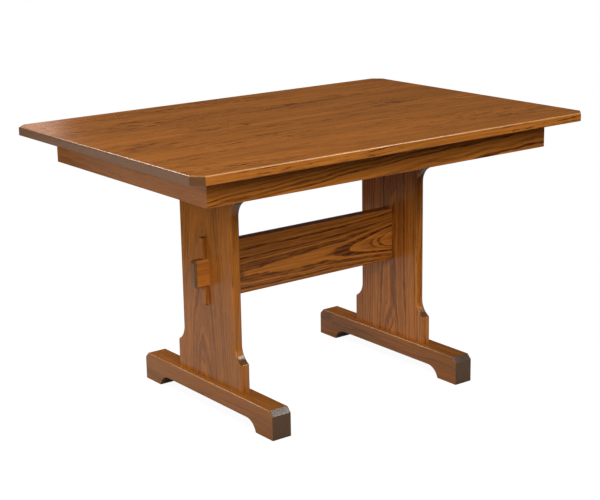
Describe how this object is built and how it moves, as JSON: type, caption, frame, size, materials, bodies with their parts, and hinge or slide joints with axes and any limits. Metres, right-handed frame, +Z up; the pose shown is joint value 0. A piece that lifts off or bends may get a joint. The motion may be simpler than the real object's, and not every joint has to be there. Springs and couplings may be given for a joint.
{
  "type": "trestle dining table",
  "caption": "Rectangular oak dining table with clipped corners and an apron, on a trestle base of shaped uprights and sled feet, tied by a stretcher with wedged through tenons.",
  "frame": {"origin": "on the floor, under the middle of the top", "axes": "+X along the table's length to the right end, +Y across it to the rear, +Z up"},
  "size_m": [1.3, 0.9, 0.762],
  "materials": {
    "oak_top": "stained oak, satin lacquer",
    "oak_apron": "stained oak, satin lacquer",
    "oak_upright": "stained oak, satin lacquer",
    "oak_foot": "stained oak, satin lacquer",
    "oak_stretcher": "stained oak, satin lacquer",
    "oak_wedge": "stained oak, satin lacquer",
    "oak_yoke": "stained oak, satin",
    "oak_block": "bare wood",
    "screw_steel": "zinc-plated, satin",
    "glide_nylon": "dark brown, matte"
  },
  "bodies": {
    "table": {"top_board_1": "oak_top", "top_board_2": "oak_top", "top_board_3": "oak_top", "top_board_4": "oak_top", "top_board_5": "oak_top", "top_board_6": "oak_top", "top_board_7": "oak_top", "top_board_8": "oak_top", "front_apron": "oak_apron", "rear_apron": "oak_apron", "left_apron": "oak_apron", "right_apron": "oak_apron", "corner_block_front_left": "oak_block", "corner_block_rear_left": "oak_block", "corner_block_front_right": "oak_block", "corner_block_rear_right": "oak_block", "left_yoke": "oak_yoke", "right_yoke": "oak_yoke", "left_upright": "oak_upright", "right_upright": "oak_upright", "left_foot": "oak_foot", "right_foot": "oak_foot", "stretcher": "oak_stretcher", "yoke_screws": "screw_steel", "foot_lag_screws": "screw_steel", "corner_block_screws": "screw_steel", "apron_top_screws": "screw_steel", "foot_glides": "glide_nylon"},
    "left_wedge": {"left_wedge": "oak_wedge"},
    "right_wedge": {"right_wedge": "oak_wedge"}
  },
  "joints": [
    {"name": "left_wedge_lift", "type": "slide", "parent": "table", "child": "left_wedge", "axis": [0, 0, 1], "range_m": [0, 0.12]},
    {"name": "right_wedge_lift", "type": "slide", "parent": "table", "child": "right_wedge", "axis": [0, 0, 1], "range_m": [0, 0.12]}
  ]
}
